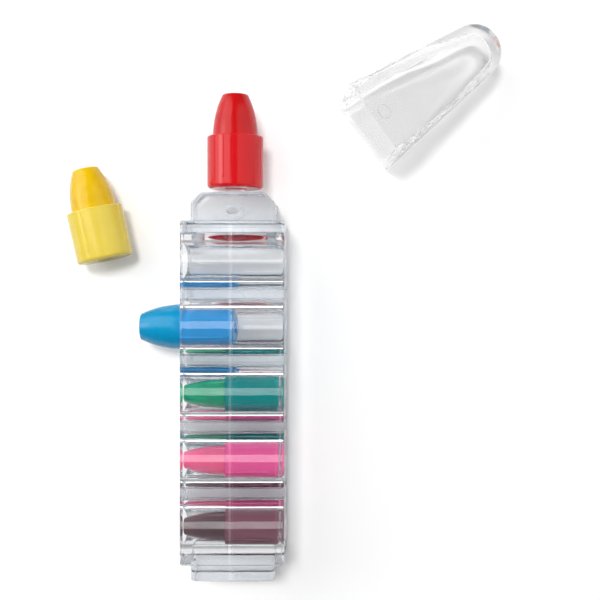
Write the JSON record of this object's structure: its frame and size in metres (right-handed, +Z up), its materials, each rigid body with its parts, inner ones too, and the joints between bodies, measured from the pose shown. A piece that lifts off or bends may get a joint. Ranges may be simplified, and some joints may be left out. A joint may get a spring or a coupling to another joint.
{
  "type": "multi-point crayon",
  "caption": "Clear crayon holder with a row of cross bores storing spare coloured wax points, a neck stub carrying the drawing point, and a tapered snap cap lying beside it.",
  "frame": {"origin": "centre of the holder block's flat back, on the surface it lies on", "axes": "+Z up from that surface, +Y along the holder towards the drawing point, +X across it to the cap's side"},
  "size_m": [0.1095, 0.1371, 0.0249],
  "materials": {
    "clear_plastic": "clear polished",
    "red_wax": "waxy",
    "red_plastic": "semi-gloss moulded",
    "yellow_wax": "waxy",
    "yellow_plastic": "semi-gloss moulded",
    "blue_wax": "waxy",
    "blue_plastic": "semi-gloss moulded",
    "green_wax": "waxy",
    "green_plastic": "semi-gloss moulded",
    "pink_wax": "waxy",
    "pink_plastic": "semi-gloss moulded",
    "black_wax": "waxy",
    "black_plastic": "semi-gloss moulded"
  },
  "bodies": {
    "holder": {"holder_body": "clear_plastic"},
    "cap": {"cap": "clear_plastic"},
    "red_crayon": {"red_collar": "red_plastic", "red_tip": "red_wax"},
    "yellow_crayon": {"yellow_collar": "yellow_plastic", "yellow_tip": "yellow_wax"},
    "blue_crayon": {"blue_collar": "blue_plastic", "blue_tip": "blue_wax"},
    "green_crayon": {"green_collar": "green_plastic", "green_tip": "green_wax"},
    "pink_crayon": {"pink_collar": "pink_plastic", "pink_tip": "pink_wax"},
    "black_crayon": {"black_collar": "black_plastic", "black_tip": "black_wax"}
  },
  "joints": [
    {"name": "red_pull", "type": "slide", "parent": "holder", "child": "red_crayon", "axis": [0, 1, 0], "range_m": [0, 0.015]},
    {"name": "blue_slide", "type": "slide", "parent": "holder", "child": "blue_crayon", "axis": [-1, 0, 0], "range_m": [-0.03665, 0.01305]},
    {"name": "green_slide", "type": "slide", "parent": "holder", "child": "green_crayon", "axis": [-1, 0, 0], "range_m": [-0.0255, 0.0242]},
    {"name": "pink_slide", "type": "slide", "parent": "holder", "child": "pink_crayon", "axis": [-1, 0, 0], "range_m": [-0.0255, 0.0242]},
    {"name": "black_slide", "type": "slide", "parent": "holder", "child": "black_crayon", "axis": [-1, 0, 0], "range_m": [-0.0255, 0.0242]},
    {"name": "yellow_slide", "type": "slide", "parent": "holder", "child": "yellow_crayon", "axis": [-0.2233, 0.9748, 0], "range_m": [0, 0.03]},
    {"name": "cap_slide", "type": "slide", "parent": "holder", "child": "cap", "axis": [0.807, 0.5906, 0], "range_m": [0, 0.04]}
  ]
}
